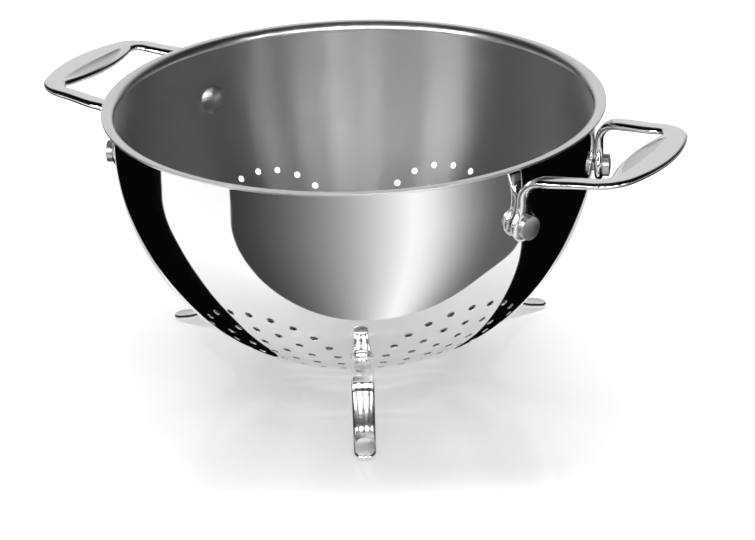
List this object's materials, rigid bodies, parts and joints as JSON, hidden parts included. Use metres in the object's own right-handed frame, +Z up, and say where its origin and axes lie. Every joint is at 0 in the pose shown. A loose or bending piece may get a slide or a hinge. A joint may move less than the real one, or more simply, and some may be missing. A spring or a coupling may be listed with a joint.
{
  "type": "colander",
  "caption": "Round steel colander: pressed bowl with petals of drain holes and a rolled-out lip, riveted loop handles at the sides and strap legs with dished toes.",
  "frame": {"origin": "centre of the bowl's axis on the floor plane that the toes stand on", "axes": "+Z up along the bowl's axis, +X through the right handle, one leg under the left handle at -X, the others at 60 degrees to either side of +X"},
  "size_m": [0.346, 0.253, 0.1437],
  "materials": {
    "bowl_steel": "mirror polished outside, brushed round the bowl inside, satin lip",
    "handle_steel": "polished casting with a satin dish",
    "rivet_steel": "polished",
    "leg_steel": "polished casting with a dished toe"
  },
  "bodies": {
    "root": {"bowl": "bowl_steel", "right_handle": "handle_steel", "left_handle": "handle_steel", "right_front_rivet": "rivet_steel", "right_rear_rivet": "rivet_steel", "left_rear_rivet": "rivet_steel", "left_front_rivet": "rivet_steel", "front_leg": "leg_steel", "rear_leg": "leg_steel", "left_leg": "leg_steel"}
  },
  "joints": []
}
